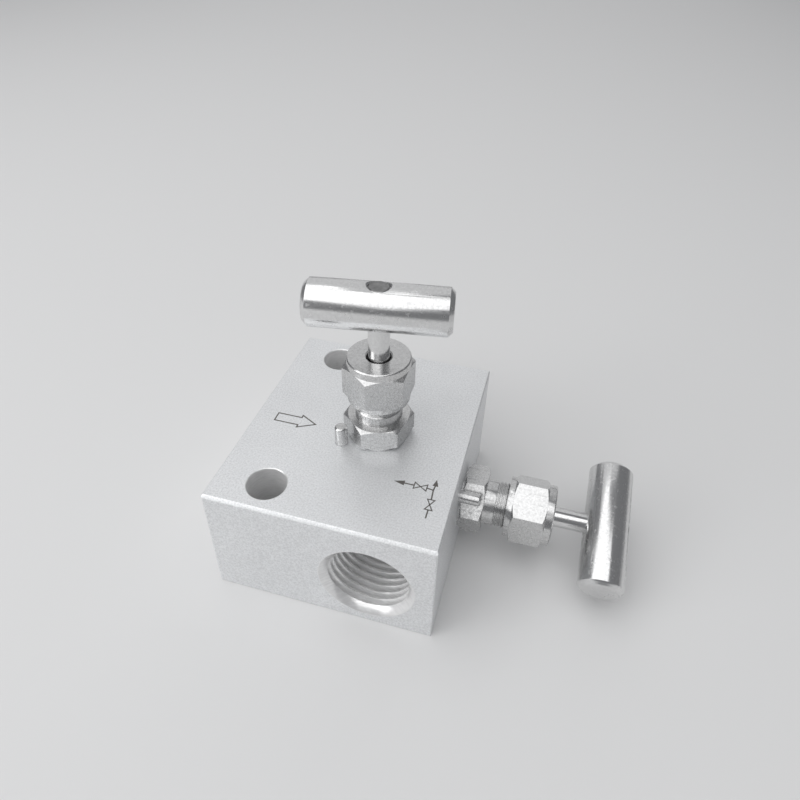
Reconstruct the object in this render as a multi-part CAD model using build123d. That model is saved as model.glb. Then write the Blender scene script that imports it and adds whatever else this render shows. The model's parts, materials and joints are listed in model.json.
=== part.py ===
from build123d import *
import os
from math import cos, pi, radians, sin, tan

# Two-valve (block and bleed) instrument manifold, in millimetres.
# Origin: the middle of the block's bottom face. The isolate valve stands out along +X, the bleed
# valve along +Z, the process port opens on the -Y face, the instrument port on the +Y face and
# the bleed port on the -X face.
# Each valve is drawn along its own +Z from the block's face, shut, then set in place.

INCH = 25.4

# Clearances
THREAD_CLEARANCE = 0.03      # radial, between threads that are screwed up tight
PRESS_CLEARANCE = 0.01       # radial, round the pressed-in lock pins
RUNNING_CLEARANCE = 0.06     # radial, round the turning stem
SWIVEL_PLAY = 0.04           # between the stem's end and the tip that it carries
SHUT_GAP = 0.03              # between the tip's cone and the edge of its seat
OVERCUT = 1.0                # how far a cutter runs past the surface that it opens

# Block
BLOCK_X = 51.5
BLOCK_Y = 60.5
BLOCK_Z = 30.0
FRONT_CHAMFER = 0.67         # along the front edge of the top face
EDGE_BREAK = 0.25            # on every other edge

# Process port (-Y face) and instrument port (+Y face): 1/2-14 NPT
LINE_PORT_X = 10.6
PROCESS_PORT_Z = 13.2
INSTRUMENT_PORT_Z = 15.0
LINE_PORT_DRILL_R = 9.13
LINE_PORT_MOUTH_R = 10.9
LINE_PORT_THREAD_R = 10.5    # root radius of the first thread
LINE_PORT_PITCH = INCH / 14
LINE_PORT_THREAD_LENGTH = 13.0
LINE_PORT_DEPTH = 15.5

# Bleed port: 1/4-18 NPT, on the -X face
BLEED_PORT_Z = 16.0
BLEED_PORT_DRILL_R = 5.56
BLEED_PORT_MOUTH_R = 6.9
BLEED_PORT_THREAD_R = 6.7
BLEED_PORT_PITCH = INCH / 18
BLEED_PORT_THREAD_LENGTH = 8.8
BLEED_PORT_DEPTH = 12.0

PIPE_TAPER = 1 / 32          # fall of a pipe thread's radius per mm of depth
THREAD_HALF_ANGLE = 30.0
FIRST_ROOT_PITCHES = 1.25    # depth of a port's first thread root, in pitches
DRILL_POINT_HALF_ANGLE = 59.0

# Mounting holes, straight down through the block
MOUNT_HOLE_X = -13.9
MOUNT_HOLE_SPACING = 46.2
MOUNT_HOLE_R = 4.37
MOUNT_HOLE_CHAMFER = 0.2

# Passages
BLEED_X = 4.2                # bleed valve's axis, and the junction below it
ISOLATE_Z = 13.7             # isolate valve's axis, and the height of the junction
PASSAGE_R = 1.6
BLEED_PASSAGE_R = 1.3
PASSAGE_HEIGHT_IN_CHAMBER = 1.8   # side passage's middle, above the seat

# Bonnet bore in the block, measured down from the face that a valve stands on
BONNET_THREAD_R = 6.35
BONNET_BORE_DEPTH = 9.0
BONNET_SEAL_T = 0.8
CHAMBER_R = 4.0
SEAT_DEPTH = 12.6
SEAT_CHAMFER = 0.3           # radial width of the seat's cone, which has the tip's angle

# Bonnet
HEX_ACROSS_FLATS = INCH * 9 / 16
HEX_HEIGHT = 5.7
HEX_FOOT = 0.4               # height of the turned foot under the bonnet's hexagon
HEX_CHAMFER_ANGLE = 30.0
NECK_R = 5.45
NECK_TOP = 17.5
NECK_THREAD_START = 8.2
NECK_PITCH = INCH / 32
NECK_THREAD_DEPTH = 0.42
DRIVE_R = 3.175              # 1/4-28 drive thread of the stem
DRIVE_PITCH = INCH / 28
BACK_SEAT_HEIGHT = 6.9
PACKING_FLOOR = 8.9
PACKING_R = 3.97

# Stem
STEM_R = 2.38
DRIVE_BOTTOM = -8.4
DRIVE_LENGTH = 11.4
SWIVEL_NECK_R = 1.0
SWIVEL_HEAD_R = 1.5
SWIVEL_NECK_LENGTH = 1.0
SWIVEL_HEAD_LENGTH = 1.3
STEM_END_CHAMFER = 0.3
STEM_END_RECESS = 0.35       # the stem's end lies this far below the top of the bar

# Tip that closes the seat without turning
TIP_R = 2.5
TIP_NOSE_R = 0.7
TIP_CONE_HALF_ANGLE = 30.0

# Packing
WASHER_T = 0.8
RING_T = 1.8
RING_COUNT = 3
RING_GROOVE = 0.25           # radial chamfer on each ring's outer edges
PACKING_SQUEEZE = 0.02       # radial, left round the washer, rings and gland
GLAND_TOP = 19.0

# Packing nut
NUT_BOTTOM = 11.0
NUT_TOP = 22.0
NUT_FOOT = 1.25              # turned collar under the nut's hexagon
NUT_COLLAR = 1.8             # turned collar above it
NUT_HOLE_R = 2.8
NUT_EDGE_CHAMFER = 0.25

# Bar handle
BAR_HEIGHT = 34.5            # bar's axis, above the block's face
BAR_R = 5.2
BAR_LENGTH = 31.0
BAR_CHAMFER = 1.0
BAR_HOLE_CHAMFER = 0.35
SET_SCREW_R = 1.6
SET_SCREW_LENGTH = 2.6
SET_SCREW_HEX = 1.5          # across the flats of its socket
SET_SCREW_SOCKET = 1.2

# Lock pin, beside a bonnet's hexagon
LOCK_PIN_R = 1.45
LOCK_PIN_HEIGHT = 5.0
LOCK_PIN_DEPTH = 5.0
LOCK_PIN_CHAMFER = 0.35
LOCK_PIN_GAP = 1.0           # least distance from the hexagon's flat

# Where each valve stands, and how its pieces happen to be turned, in degrees about its own axis
VALVES = {
    "bleed": dict(
        face=Plane(origin=(BLEED_X, 0, BLOCK_Z), x_dir=(1, 0, 0), z_dir=(0, 0, 1)),
        hexagon=17.5, nut=26.0, bar=9.6, pin=222.9,
    ),
    "isolate": dict(
        face=Plane(origin=(BLOCK_X / 2, 0, ISOLATE_Z), x_dir=(0, 1, 0), z_dir=(1, 0, 0)),
        hexagon=48.5, nut=27.5, bar=196.6, pin=132.7,
    ),
}


def turned(profile):
    """A solid turned about Z, from (radius, height) points."""
    return revolve(Plane.XZ * make_face(Polyline(*profile, close=True)), Axis.Z)


def hexagon(bottom, top, foot, turn):
    """A hexagonal bar between two heights, chamfered to its inner circle above and at its foot."""
    flat_r = HEX_ACROSS_FLATS / 2
    corner_r = flat_r / cos(pi / 6)
    fall = (corner_r - flat_r) * tan(radians(HEX_CHAMFER_ANGLE))
    bar = extrude(
        Plane.XY.offset(bottom) * RegularPolygon(flat_r, 6, major_radius=False, rotation=turn),
        top - bottom,
    )
    return bar & turned([
        (0, bottom), (flat_r, bottom), (flat_r, bottom + foot), (corner_r, bottom + foot + fall),
        (corner_r, top - fall), (flat_r, top), (0, top),
    ])


def neck_thread():
    """Outline of the bonnet's outer thread, upwards."""
    count = int((NECK_TOP - NECK_THREAD_START) / NECK_PITCH)
    crest, flank = NECK_PITCH / 8, NECK_PITCH * 3 / 8
    root = NECK_R - NECK_THREAD_DEPTH
    points = []
    for i in range(count):
        z = NECK_THREAD_START + i * NECK_PITCH
        points += [(NECK_R, z), (root, z + flank), (root, z + flank + crest),
                   (NECK_R, z + 2 * flank + crest)]
    return points


def bonnet(turn):
    """Body that screws into the block and holds the stem, its drive thread and its packing."""
    bottom = BONNET_SEAL_T - BONNET_BORE_DEPTH
    thread_r = BONNET_THREAD_R - THREAD_CLEARANCE
    stem_hole_r = STEM_R + RUNNING_CLEARANCE
    drive_bore_r = DRIVE_R
    back_seat_rise = drive_bore_r - stem_hole_r
    shell = turned([
        (drive_bore_r, bottom), (thread_r, bottom), (thread_r, HEX_FOOT), (NECK_R, HEX_FOOT),
        *neck_thread(), (NECK_R, NECK_TOP - NECK_PITCH / 2),
        (NECK_R - NECK_PITCH / 2, NECK_TOP), (PACKING_R, NECK_TOP), (PACKING_R, PACKING_FLOOR),
        (stem_hole_r, PACKING_FLOOR), (stem_hole_r, BACK_SEAT_HEIGHT + back_seat_rise),
        (drive_bore_r, BACK_SEAT_HEIGHT),
    ])
    collar = hexagon(0, HEX_HEIGHT, HEX_FOOT, turn) - Cylinder(
        (NECK_R + drive_bore_r) / 2, HEX_HEIGHT + 2 * HEX_FOOT,
        align=(Align.CENTER, Align.CENTER, Align.MIN),
    ).moved(Location((0, 0, -HEX_FOOT)))
    return shell + collar


def bonnet_seal():
    """Ring clamped between the bonnet's end and the shoulder of its bore."""
    inner = CHAMBER_R + 2 * THREAD_CLEARANCE
    outer = BONNET_THREAD_R - 2 * THREAD_CLEARANCE
    return turned([
        (inner, -BONNET_BORE_DEPTH), (outer, -BONNET_BORE_DEPTH),
        (outer, BONNET_SEAL_T - BONNET_BORE_DEPTH), (inner, BONNET_SEAL_T - BONNET_BORE_DEPTH),
    ])


def stem():
    """Turning spindle: swivel head, drive thread, and the polished rod up into the bar."""
    drive_r = DRIVE_R - RUNNING_CLEARANCE
    drive_top = DRIVE_BOTTOM + DRIVE_LENGTH
    back_seat_rise = drive_r - STEM_R
    end = BAR_HEIGHT + BAR_R - STEM_END_RECESS
    neck_bottom = DRIVE_BOTTOM - SWIVEL_NECK_LENGTH
    head_bottom = neck_bottom - SWIVEL_HEAD_LENGTH
    return turned([
        (0, head_bottom), (SWIVEL_HEAD_R, head_bottom), (SWIVEL_HEAD_R, neck_bottom),
        (SWIVEL_NECK_R, neck_bottom), (SWIVEL_NECK_R, DRIVE_BOTTOM), (drive_r, DRIVE_BOTTOM),
        (drive_r, drive_top - back_seat_rise), (STEM_R, drive_top),
        (STEM_R, end - STEM_END_CHAMFER), (STEM_R - STEM_END_CHAMFER, end), (0, end),
    ])


def tip():
    """Hard tip that the stem's head carries. It slides onto the seat but doesn't turn."""
    slope = tan(radians(TIP_CONE_HALF_ANGLE))
    top = DRIVE_BOTTOM - SWIVEL_PLAY
    neck_bottom = DRIVE_BOTTOM - SWIVEL_NECK_LENGTH + SWIVEL_PLAY
    head_bottom = neck_bottom - SWIVEL_HEAD_LENGTH - 2 * SWIVEL_PLAY
    neck_r = SWIVEL_NECK_R + SWIVEL_PLAY
    head_r = SWIVEL_HEAD_R + SWIVEL_PLAY
    seat_r = PASSAGE_R + SEAT_CHAMFER
    cone_top = -SEAT_DEPTH + (TIP_R - seat_r + SHUT_GAP) / slope
    nose = cone_top - (TIP_R - TIP_NOSE_R) / slope
    return turned([
        (0, nose), (TIP_NOSE_R, nose), (TIP_R, cone_top), (TIP_R, top), (neck_r, top),
        (neck_r, neck_bottom), (head_r, neck_bottom), (head_r, head_bottom), (0, head_bottom),
    ])


def packing_washer():
    """Flat washer on the floor of the packing chamber."""
    inner, outer = STEM_R + RUNNING_CLEARANCE, PACKING_R - PACKING_SQUEEZE
    return turned([
        (inner, PACKING_FLOOR), (outer, PACKING_FLOOR), (outer, PACKING_FLOOR + WASHER_T),
        (inner, PACKING_FLOOR + WASHER_T),
    ])


def packing_rings():
    """Stack of packing rings round the stem."""
    inner, outer = STEM_R + PACKING_SQUEEZE, PACKING_R - PACKING_SQUEEZE
    rings = []
    for i in range(RING_COUNT):
        z = PACKING_FLOOR + WASHER_T + i * RING_T
        rings.append(turned([
            (inner, z), (outer - RING_GROOVE, z), (outer, z + RING_GROOVE),
            (outer, z + RING_T - RING_GROOVE), (outer - RING_GROOVE, z + RING_T),
            (inner, z + RING_T),
        ]))
    return Compound(children=rings)


def gland():
    """Bush that the packing nut presses down on the packing."""
    inner, outer = STEM_R + RUNNING_CLEARANCE, PACKING_R - PACKING_SQUEEZE
    bottom = PACKING_FLOOR + WASHER_T + RING_COUNT * RING_T
    return turned([(inner, bottom), (outer, bottom), (outer, GLAND_TOP), (inner, GLAND_TOP)])


def packing_nut(turn):
    """Nut on the bonnet's neck, with a turned collar at each end of its hexagon."""
    flat_r = HEX_ACROSS_FLATS / 2
    thread_r = NECK_R + THREAD_CLEARANCE
    body = hexagon(NUT_BOTTOM, NUT_TOP - NUT_COLLAR, NUT_FOOT, turn) + turned([
        (0, NUT_TOP - 2 * NUT_COLLAR), (flat_r, NUT_TOP - 2 * NUT_COLLAR),
        (flat_r, NUT_TOP - NUT_EDGE_CHAMFER), (flat_r - NUT_EDGE_CHAMFER, NUT_TOP), (0, NUT_TOP),
    ])
    flare = NUT_EDGE_CHAMFER + OVERCUT
    hollow = turned([
        (0, NUT_BOTTOM - OVERCUT), (thread_r + flare, NUT_BOTTOM - OVERCUT),
        (thread_r, NUT_BOTTOM + NUT_EDGE_CHAMFER), (thread_r, GLAND_TOP), (NUT_HOLE_R, GLAND_TOP),
        (NUT_HOLE_R, NUT_TOP - NUT_EDGE_CHAMFER), (NUT_HOLE_R + flare, NUT_TOP + OVERCUT),
        (0, NUT_TOP + OVERCUT),
    ])
    return body - hollow


def bar_handle(turn):
    """T-bar pressed over the stem's end, with the hole of its set screw."""
    along_bar = Plane(origin=(0, 0, BAR_HEIGHT), x_dir=(0, 1, 0), z_dir=(1, 0, 0))
    half = BAR_LENGTH / 2
    bar = along_bar.location * turned([
        (0, -half), (BAR_R - BAR_CHAMFER, -half), (BAR_R, BAR_CHAMFER - half),
        (BAR_R, half - BAR_CHAMFER), (BAR_R - BAR_CHAMFER, half), (0, half),
    ])
    hole_r = STEM_R + PRESS_CLEARANCE
    top = BAR_HEIGHT + BAR_R
    bottom = BAR_HEIGHT - BAR_R
    stem_hole = turned([
        (0, bottom - OVERCUT), (hole_r, bottom - OVERCUT), (hole_r, top - BAR_HOLE_CHAMFER),
        (hole_r + BAR_HOLE_CHAMFER + OVERCUT, top + OVERCUT), (0, top + OVERCUT),
    ])
    across = Plane(origin=(0, 0, BAR_HEIGHT), x_dir=(1, 0, 0), z_dir=(0, 1, 0))
    screw_hole = across.location * turned([
        (0, 0), (SET_SCREW_R, 0), (SET_SCREW_R, BAR_R + OVERCUT), (0, BAR_R + OVERCUT),
    ])
    return Rot(0, 0, turn) * (bar - stem_hole - screw_hole)


def set_screw(turn):
    """Socket set screw that locks the bar to the stem."""
    inner = STEM_R + RUNNING_CLEARANCE
    outer = inner + SET_SCREW_LENGTH
    radius = SET_SCREW_R - THREAD_CLEARANCE
    across = Plane(origin=(0, 0, BAR_HEIGHT), x_dir=(1, 0, 0), z_dir=(0, 1, 0))
    body = turned([(0, inner), (radius, inner), (radius, outer), (0, outer)])
    socket = extrude(
        Plane.XY.offset(outer - SET_SCREW_SOCKET)
        * RegularPolygon(SET_SCREW_HEX / 2, 6, major_radius=False),
        SET_SCREW_SOCKET + OVERCUT,
    )
    return Rot(0, 0, turn) * (across.location * (body - socket))


def lock_pin_place(angle):
    """Middle of a lock pin, from the valve's axis."""
    reach = HEX_ACROSS_FLATS / 2 + LOCK_PIN_GAP + LOCK_PIN_R
    return reach * cos(radians(angle)), reach * sin(radians(angle))


def lock_pin(angle):
    """Pin that keeps the bonnet from unscrewing."""
    x, y = lock_pin_place(angle)
    return Pos(x, y, 0) * turned([
        (0, -LOCK_PIN_DEPTH), (LOCK_PIN_R, -LOCK_PIN_DEPTH),
        (LOCK_PIN_R, LOCK_PIN_HEIGHT - LOCK_PIN_CHAMFER),
        (LOCK_PIN_R - LOCK_PIN_CHAMFER, LOCK_PIN_HEIGHT), (0, LOCK_PIN_HEIGHT),
    ])


def port_cutter(drill_r, mouth_r, thread_r, pitch, thread_length, depth):
    """Drilled, countersunk and threaded port, cut downwards from z = 0. Its thread tapers."""
    slope = tan(radians(THREAD_HALF_ANGLE))
    first_root = FIRST_ROOT_PITCHES * pitch
    # the 45 degree countersink runs down to the upper flank of the first thread
    rise = (thread_r - mouth_r + first_root) / (1 + 1 / slope)
    points = [(0, OVERCUT), (mouth_r, OVERCUT), (mouth_r, 0),
              (mouth_r - first_root + rise, rise - first_root)]
    for i in range(int(thread_length / pitch)):
        z = -first_root - i * pitch
        root_r = thread_r - i * pitch * PIPE_TAPER
        half = (root_r - drill_r) * slope
        if i > 0:
            points.append((drill_r, z + half))
        points += [(root_r, z), (drill_r, z - half)]
    points += [(drill_r, -depth), (0, -depth - drill_r / tan(radians(DRILL_POINT_HALF_ANGLE)))]
    return turned(points)


def passage(start, end, radius):
    """Round drilled passage between two points."""
    route = Vector(*end) - Vector(*start)
    hole = Cylinder(radius, route.length, align=(Align.CENTER, Align.CENTER, Align.MIN))
    return Plane(origin=start, z_dir=route).location * hole


def bonnet_bore_cutter(junction_depth):
    """Threaded bore, chamber, seat and orifice of one valve, down to the junction."""
    seat_fall = SEAT_CHAMFER / tan(radians(TIP_CONE_HALF_ANGLE))
    return turned([
        (0, OVERCUT), (BONNET_THREAD_R, OVERCUT), (BONNET_THREAD_R, -BONNET_BORE_DEPTH),
        (CHAMBER_R, -BONNET_BORE_DEPTH), (CHAMBER_R, -SEAT_DEPTH),
        (PASSAGE_R + SEAT_CHAMFER, -SEAT_DEPTH), (PASSAGE_R, -SEAT_DEPTH - seat_fall),
        (PASSAGE_R, -junction_depth), (0, -junction_depth),
    ])


def valve_block():
    """The bored block, with two mounting holes and three pipe-threaded ports."""
    block = Box(BLOCK_X, BLOCK_Y, BLOCK_Z, align=(Align.CENTER, Align.CENTER, Align.MIN))
    front_face = block.faces().sort_by(Axis.Y)[0]
    block = chamfer(front_face.edges().sort_by(Axis.Z)[-1], FRONT_CHAMFER)
    bevel = block.faces().sort_by(Axis((0, 0, 0), (0, -1, 1)))[-1]
    block = chamfer(block.edges() - bevel.edges(), EDGE_BREAK)

    line_port = port_cutter(
        LINE_PORT_DRILL_R, LINE_PORT_MOUTH_R, LINE_PORT_THREAD_R, LINE_PORT_PITCH,
        LINE_PORT_THREAD_LENGTH, LINE_PORT_DEPTH)
    for side, height in ((-1, PROCESS_PORT_Z), (1, INSTRUMENT_PORT_Z)):
        face = Plane(origin=(LINE_PORT_X, side * BLOCK_Y / 2, height), z_dir=(0, side, 0))
        block -= face.location * line_port
    bleed_port = port_cutter(
        BLEED_PORT_DRILL_R, BLEED_PORT_MOUTH_R, BLEED_PORT_THREAD_R, BLEED_PORT_PITCH,
        BLEED_PORT_THREAD_LENGTH, BLEED_PORT_DEPTH)
    block -= Plane(origin=(-BLOCK_X / 2, 0, BLEED_PORT_Z), z_dir=(-1, 0, 0)).location * bleed_port

    for side in (-1, 1):
        flare_r = MOUNT_HOLE_R + MOUNT_HOLE_CHAMFER + OVERCUT
        hole = turned([
            (0, -OVERCUT), (flare_r, -OVERCUT),
            (MOUNT_HOLE_R, MOUNT_HOLE_CHAMFER), (MOUNT_HOLE_R, BLOCK_Z - MOUNT_HOLE_CHAMFER),
            (flare_r, BLOCK_Z + OVERCUT), (0, BLOCK_Z + OVERCUT),
        ])
        block -= Pos(MOUNT_HOLE_X, side * MOUNT_HOLE_SPACING / 2, 0) * hole

    block -= VALVES["bleed"]["face"].location * bonnet_bore_cutter(BLOCK_Z - ISOLATE_Z)
    block -= VALVES["isolate"]["face"].location * bonnet_bore_cutter(BLOCK_X / 2 - BLEED_X)

    port_bottom = BLOCK_Y / 2 - LINE_PORT_DEPTH
    isolate_chamber_x = BLOCK_X / 2 - SEAT_DEPTH + PASSAGE_HEIGHT_IN_CHAMBER
    bleed_chamber_z = BLOCK_Z - SEAT_DEPTH + PASSAGE_HEIGHT_IN_CHAMBER
    block -= passage((isolate_chamber_x, -port_bottom - OVERCUT, ISOLATE_Z),
                     (isolate_chamber_x, 0, ISOLATE_Z), PASSAGE_R)
    block -= passage((BLEED_X, port_bottom + OVERCUT, ISOLATE_Z),
                     (BLEED_X, 0, ISOLATE_Z), PASSAGE_R)
    block -= passage((BLEED_PORT_DEPTH - OVERCUT - BLOCK_X / 2, 0, bleed_chamber_z),
                     (BLEED_X - CHAMBER_R / 2, 0, bleed_chamber_z), BLEED_PASSAGE_R)

    for valve in VALVES.values():
        x, y = lock_pin_place(valve["pin"])
        pin_hole = Pos(x, y, -LOCK_PIN_DEPTH) * Cylinder(
            LOCK_PIN_R + PRESS_CLEARANCE, LOCK_PIN_DEPTH + OVERCUT,
            align=(Align.CENTER, Align.CENTER, Align.MIN))
        block -= valve["face"].location * pin_hole
    return block


def main():
    os.makedirs("parts", exist_ok=True)
    nodes = {"valve_block": valve_block()}
    for name, valve in VALVES.items():
        pieces = {
            "bonnet": bonnet(valve["hexagon"]),
            "bonnet_seal": bonnet_seal(),
            "stem": stem(),
            "stem_tip": tip(),
            "packing_washer": packing_washer(),
            "packing_rings": packing_rings(),
            "gland": gland(),
            "packing_nut": packing_nut(valve["nut"]),
            "bar_handle": bar_handle(valve["bar"]),
            "handle_set_screw": set_screw(valve["bar"]),
            "lock_pin": lock_pin(valve["pin"]),
        }
        for piece, shape in pieces.items():
            nodes[f"{name}_{piece}"] = valve["face"].location * shape
    for name, shape in nodes.items():
        export_step(shape, f"parts/{name}.step")


main()
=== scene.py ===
import json
import math

import bmesh
import bpy
from mathutils import Matrix, Vector


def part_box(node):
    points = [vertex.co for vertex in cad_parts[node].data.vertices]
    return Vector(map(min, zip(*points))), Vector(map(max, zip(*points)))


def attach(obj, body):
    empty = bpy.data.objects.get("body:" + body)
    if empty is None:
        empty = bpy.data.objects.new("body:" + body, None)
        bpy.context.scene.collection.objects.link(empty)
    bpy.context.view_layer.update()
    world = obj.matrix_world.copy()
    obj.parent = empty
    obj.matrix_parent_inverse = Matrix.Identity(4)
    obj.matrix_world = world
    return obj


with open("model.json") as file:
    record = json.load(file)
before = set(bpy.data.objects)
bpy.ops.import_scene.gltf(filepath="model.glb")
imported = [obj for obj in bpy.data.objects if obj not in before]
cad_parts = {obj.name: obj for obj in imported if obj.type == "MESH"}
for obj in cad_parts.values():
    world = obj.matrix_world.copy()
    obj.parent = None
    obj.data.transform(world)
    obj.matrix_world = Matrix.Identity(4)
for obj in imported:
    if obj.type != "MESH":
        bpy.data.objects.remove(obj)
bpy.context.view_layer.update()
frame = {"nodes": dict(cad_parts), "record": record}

MM = 0.001
VALVES = ("bleed", "isolate")
AXIS_OF = {"bleed": "Z", "isolate": "X"}

# Materials. Scales are in features per metre.
CLOUD_SCALE = 110            # broad patches in a metal's shade
SCUFF_SCALE = 900
GRAIN_RANGE = (0.38, 0.62)   # noise levels that a metal's shade and roughness run between
SCUFF_RANGE = (0.60, 0.68)   # noise levels over which a scuff sets in
GLOSS_TURN = 0.25            # of a whole turn, from along the tool marks to across them
BORE_MARK_PITCH = 0.35 * MM
BORE_MARK_STRETCH = (0.15, 0.15, 1)
BORE_SPREAD = 0.2            # of the shade on bored walls, as a share of it
# Painted shade on the end of a stem where it sits recessed in its bar: darker and mottled beyond
# this depth from the end
SHADED_END_DEPTH = 0.15 * MM
SHADED_END_SPREAD = 0.6            # of the painted shade on a stem's recessed end, as a share of it

# Holes in the block, as its material sees them
HOLE_MARGIN = 0.12 * MM      # beyond a hole's radius, so that its edge counts as its wall
LINE_PORT_MOUTH_R = 10.9 * MM
BLEED_PORT_MOUTH_R = 6.9 * MM
PORT_REACH = 1.8             # mouth and drill point included, as a share of the bore's length

# Broken edges
BLOCK_EDGE = 0.06 * MM
PIECE_EDGE = 0.08 * MM
EDGE_ANGLE = math.radians(28)
EDGE_SEGMENTS = 2
WELD_GAP = 0.002 * MM

# Marks on the block's top face, in millimetres
LINE_WIDTH = 0.32
SIGN_WIDTH = 0.25            # of the lines in a valve's sign
LINE_SINK = 0.02
LINE_STAND = 0.012
MITRE_LIMIT = 0.4            # least cosine that a corner's mitre is worked out with
SIGN_REACH = 1.4             # from the middle of a valve's sign to either end
HEAD_HALF = 0.7              # half the width of the filled arrowhead on the left
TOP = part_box("valve_block")[1][2] / MM

# Studio
FLOOR_SIZE = 8.0
FLOOR_SHADE = (0.80, 0.80, 0.80, 1)
FLOOR_ROUGHNESS = 0.9
WORLD_SHADE = (0.20, 0.203, 0.21, 1)
LAMP_TARGET = Vector((0.01, 0, 0.02))
LAMPS = (                    # name, place, size in metres, watts
    ("key", (-0.16, -0.30, 0.85), 1.30, 6.9),
    ("back", (-0.20, 0.85, 0.66), 1.30, 2.5),
    ("left", (-0.62, -0.52, 0.34), 0.50, 1.5),
)

# ---------------------------------------------------------------- materials


def add(tree, kind, inputs=None, **settings):
    """A new node with its settings, and each input set to a value or linked from a socket."""
    node = tree.nodes.new(kind)
    for key, value in settings.items():
        setattr(node, key, value)
    for key, value in (inputs or {}).items():
        if isinstance(value, bpy.types.NodeSocket):
            tree.links.new(value, node.inputs[key])
        else:
            node.inputs[key].default_value = value
    return node


def math_node(tree, operation, first, second):
    """Result of a sum, product or comparison of two values or sockets."""
    return add(tree, "ShaderNodeMath", {0: first, 1: second}, operation=operation).outputs["Value"]


def noise(tree, scale, stretch=(1, 1, 1), detail=4.0, roughness=0.55):
    """Noise over the object, with scale in features per metre, stretched along the axes."""
    place = add(tree, "ShaderNodeTexCoord").outputs["Object"]
    mapped = add(tree, "ShaderNodeMapping", {"Vector": place, "Scale": stretch}).outputs["Vector"]
    return add(tree, "ShaderNodeTexNoise",
               {"Vector": mapped, "Scale": scale, "Detail": detail, "Roughness": roughness}
               ).outputs["Fac"]


def remap(tree, value, low, high, to_low, to_high):
    """Clamped linear map of a socket from one range to another."""
    return add(tree, "ShaderNodeMapRange", {
        "Value": value, "From Min": low, "From Max": high, "To Min": to_low, "To Max": to_high,
    }).outputs["Result"]


def shades(tree, value, dark, light):
    """Colour that runs from dark to light, each a colour or a socket, with a 0 to 1 socket."""
    return add(tree, "ShaderNodeMix", {"Factor": value, "A": dark, "B": light},
               data_type="RGBA").outputs["Result"]


def grey(level, warmth=0.0):
    """Colour of a level, a little warmer or cooler than neutral."""
    return (level * (1 + warmth), level, level * (1 - warmth), 1)


def offset_length(tree, centre, axes):
    """How far a point lies from centre, counted along the named axes only, in metres."""
    place = add(tree, "ShaderNodeTexCoord").outputs["Object"]
    offset = add(tree, "ShaderNodeVectorMath", {0: place, 1: centre},
                 operation="SUBTRACT").outputs["Vector"]
    counted = tuple(1.0 if axis in axes else 0.0 for axis in "XYZ")
    kept = add(tree, "ShaderNodeVectorMath", {0: offset, 1: counted},
               operation="MULTIPLY").outputs["Vector"]
    return add(tree, "ShaderNodeVectorMath", {0: kept}, operation="LENGTH").outputs["Value"]


def new_material(name):
    """A material with its node tree and its shader."""
    mat = bpy.data.materials.new(name)
    mat.use_nodes = True
    return mat, mat.node_tree, mat.node_tree.nodes["Principled BSDF"]


def raise_grain(tree, shader, grain, height):
    """Bump that follows a grain, with its height in metres."""
    bumped = add(tree, "ShaderNodeBump",
                 {"Height": grain, "Strength": 1.0, "Distance": height}).outputs["Normal"]
    tree.links.new(bumped, shader.inputs["Normal"])


def metal(name, level, spread, rough, rough_spread, grain, bump, warmth=0.0, metallic=1.0,
          cloud=0.2, scuffs=0.0):
    """Steel whose grain drives its shade, roughness and bump. Scuffs are sparse dull specks."""
    mat, tree, shader = new_material(name)
    shader.inputs["Metallic"].default_value = metallic
    fine = noise(tree, grain)
    wide = noise(tree, CLOUD_SCALE, detail=2.0)
    blend = add(tree, "ShaderNodeMix", {"Factor": cloud, "A": fine, "B": wide},
                data_type="FLOAT").outputs["Result"]
    shade = remap(tree, blend, *GRAIN_RANGE, 0.0, 1.0)
    tree.links.new(shades(tree, shade, grey(level * (1 - spread), warmth),
                          grey(level * (1 + spread), warmth)), shader.inputs["Base Color"])
    roughness = remap(tree, blend, *GRAIN_RANGE, rough + rough_spread, rough - rough_spread)
    if scuffs:
        specks = remap(tree, noise(tree, SCUFF_SCALE, detail=3.0), *SCUFF_RANGE, 0.0, scuffs)
        roughness = math_node(tree, "ADD", roughness, specks)
    tree.links.new(roughness, shader.inputs["Roughness"])
    raise_grain(tree, shader, fine, bump)
    return mat


def plastic(name, dark, light, rough, grain, bump):
    """Dull material of one roughness whose grain drives its shade and bump."""
    mat, tree, shader = new_material(name)
    fine = noise(tree, grain)
    tree.links.new(shades(tree, fine, (*dark, 1), (*light, 1)), shader.inputs["Base Color"])
    shader.inputs["Roughness"].default_value = rough
    raise_grain(tree, shader, fine, bump)
    return mat


def turned(mat, axis, anisotropy):
    """Lathe finish: the gloss spreads across the tool marks, which run round an axis."""
    tree = mat.node_tree
    shader = tree.nodes["Principled BSDF"]
    shader.inputs["Anisotropic"].default_value = anisotropy
    shader.inputs["Anisotropic Rotation"].default_value = GLOSS_TURN
    tangent = add(tree, "ShaderNodeTangent", direction_type="RADIAL", axis=axis)
    tree.links.new(tangent.outputs["Tangent"], shader.inputs["Tangent"])
    return mat


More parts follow.
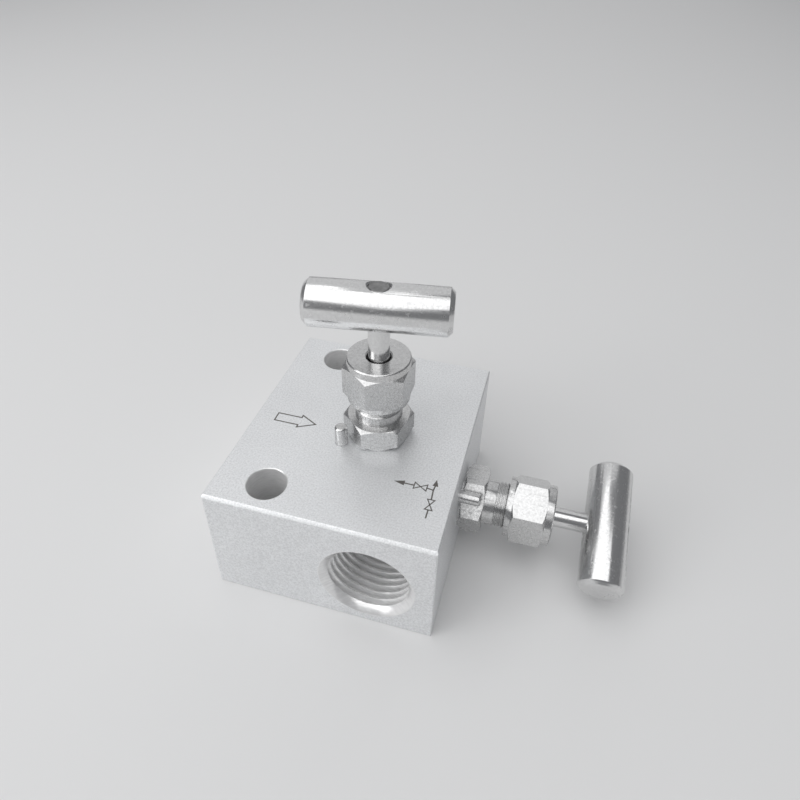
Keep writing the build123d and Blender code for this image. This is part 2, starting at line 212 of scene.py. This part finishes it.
def bored(mat, holes, level, rough, metallic):
    """Own shade and tool marks on the walls of holes, each (centre, axis, radius, reach)."""
    tree = mat.node_tree
    shader = tree.nodes["Principled BSDF"]
    inside = None
    for centre, axis, radius, reach in holes:
        across = "XYZ".replace(axis, "")
        near = math_node(tree, "LESS_THAN", offset_length(tree, centre, across), radius)
        along = math_node(tree, "LESS_THAN", offset_length(tree, centre, axis), reach)
        one = math_node(tree, "MULTIPLY", near, along)
        inside = one if inside is None else math_node(tree, "MAXIMUM", inside, one)
    marks = noise(tree, 1 / BORE_MARK_PITCH, BORE_MARK_STRETCH)
    wall = shades(tree, marks, grey(level * (1 - BORE_SPREAD)), grey(level * (1 + BORE_SPREAD)))
    for name, kind, there in (("Base Color", "RGBA", wall), ("Roughness", "FLOAT", rough),
                              ("Metallic", "FLOAT", metallic)):
        socket = shader.inputs[name]
        here = socket.links[0].from_socket if socket.is_linked else socket.default_value
        mixed = add(tree, "ShaderNodeMix", {"Factor": inside, "A": here, "B": there},
                    data_type=kind).outputs["Result"]
        tree.links.new(mixed, socket)
    return mat


def shaded_end(mat, axis, height, level):
    """Darker, mottled colour beyond a height along an axis: painted shade on the end of a rod that
    sits recessed in a hole.
    """
    tree = mat.node_tree
    socket = tree.nodes["Principled BSDF"].inputs["Base Color"]
    place = add(tree, "ShaderNodeTexCoord").outputs["Object"]
    along = add(tree, "ShaderNodeSeparateXYZ", {"Vector": place}).outputs[axis]
    beyond = math_node(tree, "GREATER_THAN", along, height)
    shaded_mottle = shades(tree, noise(tree, SCUFF_SCALE), grey(level * (1 - SHADED_END_SPREAD)),
                    grey(level * (1 + SHADED_END_SPREAD)))
    # painted shade: the recessed end takes the dark mottled colour
    mixed = shades(tree, beyond, socket.links[0].from_socket, shaded_mottle)
    tree.links.new(mixed, socket)
    return mat


def block_holes():
    """The block's mounting holes and ports, as (centre, axis, radius, reach from the centre)."""
    mounts = {mount["name"]: mount for mount in frame["record"]["mounts"]}
    pattern = mounts["mounting_holes"]
    x, y, z = pattern["pos_m"]
    half = pattern["dims"]["spacing_y_mm"] / 2 * MM
    radius = pattern["dims"]["hole_r_mm"] * MM + 2 * HOLE_MARGIN
    holes = [((x, y + side * half, z), "Z", radius, z + HOLE_MARGIN) for side in (-1, 1)]
    for name, axis, mouth_r in (("process_port", "Y", LINE_PORT_MOUTH_R),
                                ("instrument_port", "Y", LINE_PORT_MOUTH_R),
                                ("bleed_port", "X", BLEED_PORT_MOUTH_R)):
        port = mounts[name]
        reach = PORT_REACH * port["dims"]["length_mm"] * MM
        holes.append((tuple(port["pos_m"]), axis, mouth_r + HOLE_MARGIN, reach))
    return holes


def turned_material(valve):
    """Bonnets, nuts and other pieces turned or milled from bar."""
    steel = metal(f"turned_steel_{valve}", level=0.64, spread=0.09, rough=0.27, rough_spread=0.05,
                  grain=2200, bump=0.002 * MM, scuffs=0.1)
    return turned(steel, AXIS_OF[valve], anisotropy=0.5)


def polished_material(valve):
    """Bar handles."""
    return metal(f"polished_steel_{valve}", level=0.72, spread=0.05, rough=0.22,
                 rough_spread=0.04, grain=1800, bump=0.002 * MM, scuffs=0.16)


def stem_material(valve):
    """Polished rod whose end, recessed in the bar, is painted darker as painted shade."""
    axis = AXIS_OF[valve]
    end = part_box(f"{valve}_stem")[1]["XYZ".index(axis)]
    rod = metal(f"stem_steel_{valve}", level=0.72, spread=0.05, rough=0.17, rough_spread=0.04,
                grain=1800, bump=0.002 * MM)
    # the end face gets painted shade of its recess in the bar
    return shaded_end(rod, axis, end - SHADED_END_DEPTH, level=0.26)


block_steel = bored(
    metal("block_steel", level=0.84, spread=0.10, rough=0.44, rough_spread=0.06, grain=2600,
          bump=0.010 * MM, warmth=-0.012, metallic=0.65, cloud=0.12),
    block_holes(), level=0.88, rough=0.28, metallic=0.55)
engraved = plastic("engraved", dark=(0.07, 0.065, 0.06), light=(0.16, 0.15, 0.14), rough=0.6,
                   grain=4000, bump=0.010 * MM)
seal = plastic("seal_ptfe", dark=(0.80, 0.80, 0.78), light=(0.90, 0.90, 0.88), rough=0.45,
               grain=900, bump=0.010 * MM)
black_oxide = metal("black_screw", level=0.035, spread=0.4, rough=0.4, rough_spread=0.1,
                    grain=3000, bump=0.010 * MM)
turned_steel = {valve: turned_material(valve) for valve in VALVES}
polished = {valve: polished_material(valve) for valve in VALVES}
stem_steel = {valve: stem_material(valve) for valve in VALVES}


def paint(node, material, edge=0.0):
    """Gives a CAD node its material and breaks its sharp edges by a width in metres."""
    obj = frame["nodes"][node]
    obj.data.materials.clear()
    obj.data.materials.append(material)
    if edge:
        weld = obj.modifiers.new("weld", "WELD")
        weld.merge_threshold = WELD_GAP
        bevel = obj.modifiers.new("broken_edges", "BEVEL")
        bevel.limit_method = "ANGLE"
        bevel.angle_limit = EDGE_ANGLE
        bevel.width = edge
        bevel.segments = EDGE_SEGMENTS
        bevel.harden_normals = True


paint("valve_block", block_steel, BLOCK_EDGE)
for valve in VALVES:
    for piece in ("bonnet", "packing_nut", "lock_pin", "stem_tip", "packing_washer", "gland"):
        paint(f"{valve}_{piece}", turned_steel[valve], PIECE_EDGE)
    paint(f"{valve}_bar_handle", polished[valve], PIECE_EDGE)
    paint(f"{valve}_stem", stem_steel[valve], PIECE_EDGE)
    for piece in ("bonnet_seal", "packing_rings"):
        paint(f"{valve}_{piece}", seal)
    paint(f"{valve}_handle_set_screw", black_oxide)

# ---------------------------------------------------- marks on the block's top face
# An outlined arrow, and the sign of the two valves.


def solid(mesh, rows, closed):
    """Joins rows of (left low, left high, right low, right high) corners into a closed solid."""
    count = len(rows)
    for i in range(count if closed else count - 1):
        a, b = rows[i], rows[(i + 1) % count]
        for corners in ((a[1], a[3], b[3], b[1]), (a[0], b[0], b[2], a[2]),
                        (a[0], a[1], b[1], b[0]), (a[2], b[2], b[3], a[3])):
            mesh.faces.new(corners)
    if not closed:
        for end in (rows[0], rows[-1]):
            mesh.faces.new((end[0], end[1], end[3], end[2]))


def stroke(mesh, points, closed=False, width=LINE_WIDTH):
    """A flat line along points, with mitred corners."""
    points = [Vector(p) for p in points]
    count = len(points)
    rows = []
    for i, point in enumerate(points):
        into = (point - points[i - 1]).normalized() if closed or i else None
        out = (points[(i + 1) % count] - point).normalized() if closed or i < count - 1 else into
        into = into or out
        left = Vector((-into.y, into.x))
        mitre = (left + Vector((-out.y, out.x))).normalized()
        reach = width / 2 / max(mitre.dot(left), MITRE_LIMIT) * mitre
        rows.append([
            mesh.verts.new((*((point + side * reach) * MM), z * MM))
            for side in (1, -1) for z in (TOP - LINE_SINK, TOP + LINE_STAND)])
    solid(mesh, rows, closed)


def filled(mesh, points):
    """A filled flat shape."""
    low, high = ([mesh.verts.new((x * MM, y * MM, z * MM)) for x, y in points]
                 for z in (TOP - LINE_SINK, TOP + LINE_STAND))
    mesh.faces.new(low)
    mesh.faces.new(high)
    for i in range(len(points)):
        mesh.faces.new((low[i - 1], low[i], high[i], high[i - 1]))


def mark(name, draw):
    """Adds a marking drawn on the top face, which rides on the block."""
    drawn = bmesh.new()
    draw(drawn)
    bmesh.ops.recalc_face_normals(drawn, faces=drawn.faces)
    data = bpy.data.meshes.new(name)
    drawn.to_mesh(data)
    drawn.free()
    obj = bpy.data.objects.new(name, data)
    obj.data.materials.append(engraved)
    bpy.context.scene.collection.objects.link(obj)
    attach(obj, "root")


def flow_arrow(mesh):
    """Hollow arrow that points along the isolate valve's axis."""
    tail, neck, tip, y = -20.8, -14.8, -10.8, -2.8
    body, head = 1.3, 2.1
    stroke(mesh, [(tail, y - body), (neck, y - body), (neck, y - head), (tip, y), (neck, y + head),
                  (neck, y + body), (tail, y + body)], closed=True)


def valve_sign(mesh, middle, along, half):
    """Two hollow triangles that meet tip to tip, each with a base of twice half."""
    middle, along = Vector(middle), Vector(along)
    across = Vector((-along.y, along.x))
    for side in (-1, 1):
        base = middle + side * SIGN_REACH * along
        stroke(mesh, [middle, base + half * across, base - half * across], closed=True,
               width=SIGN_WIDTH)


def flow_sign(mesh):
    """Line from the process port through both valves to the instrument and the bleed."""
    row, column = -14.4, 21.2
    left_x, lower_y = 18.1, -18.7
    junction = (21.0, -14.6)
    left_tip, left_base = 12.1, 14.5
    up_tip, up_base = (21.1, -11.5), -13.4
    up_left, up_right = 20.5, 21.8
    line_end = -22.4
    valve_sign(mesh, (left_x, row), (1.0, 0.0), half=0.9)
    valve_sign(mesh, (column, lower_y), (0.0, 1.0), half=0.8)
    stroke(mesh, [(left_base, row), (left_x - SIGN_REACH, row)])
    stroke(mesh, [(left_x + SIGN_REACH, row), junction])
    stroke(mesh, [((up_left + up_right) / 2, up_base), junction, (column, lower_y + SIGN_REACH)])
    stroke(mesh, [(column, lower_y - SIGN_REACH), (column, line_end)])
    filled(mesh, [(left_tip, row), (left_base, row - HEAD_HALF), (left_base, row + HEAD_HALF)])
    filled(mesh, [up_tip, (up_left, up_base), (up_right, up_base)])


mark("flow_arrow_mark", flow_arrow)
mark("flow_sign_mark", flow_sign)

# ------------------------------------------------------- floor, light and camera


def studio():
    """Pale floor, even surroundings and three soft lamps."""
    bpy.ops.mesh.primitive_plane_add(size=FLOOR_SIZE)
    floor = bpy.context.object
    floor.name = "floor"
    mat, _, shader = new_material("floor")
    shader.inputs["Base Color"].default_value = FLOOR_SHADE
    shader.inputs["Roughness"].default_value = FLOOR_ROUGHNESS
    floor.data.materials.append(mat)

    world = bpy.data.worlds.new("studio")
    world.use_nodes = True
    world.node_tree.nodes["Background"].inputs["Color"].default_value = WORLD_SHADE
    bpy.context.scene.world = world

    for name, place, size, watts in LAMPS:
        lamp = bpy.data.lights.new(name, "AREA")
        lamp.size = size
        lamp.energy = watts
        obj = bpy.data.objects.new(name, lamp)
        obj.location = place
        obj.rotation_euler = (LAMP_TARGET - Vector(place)).to_track_quat("-Z", "Y").to_euler()
        bpy.context.scene.collection.objects.link(obj)


def camera():
    """Camera at the viewing angle of the photograph."""
    place = (0.037749, -0.106668, 0.136308)
    right = Vector((0.96378782, 0.26531838, 0.02681789))
    down = Vector((0.18243712, -0.58266478, -0.79197124))
    forward = Vector((-0.19449869, 0.76818482, -0.60996914))
    lens = bpy.data.cameras.new("camera")
    lens.sensor_width = 36.0
    lens.lens = 29.06
    lens.shift_x = -0.0101
    lens.shift_y = -0.0470
    lens.clip_start = 0.005
    obj = bpy.data.objects.new("camera", lens)
    turn = Matrix((right, -down, -forward)).transposed().to_4x4()
    obj.matrix_world = Matrix.Translation(place) @ turn
    bpy.context.scene.collection.objects.link(obj)
    bpy.context.scene.camera = obj


studio()
camera()
bpy.context.scene.view_settings.view_transform = "Standard"
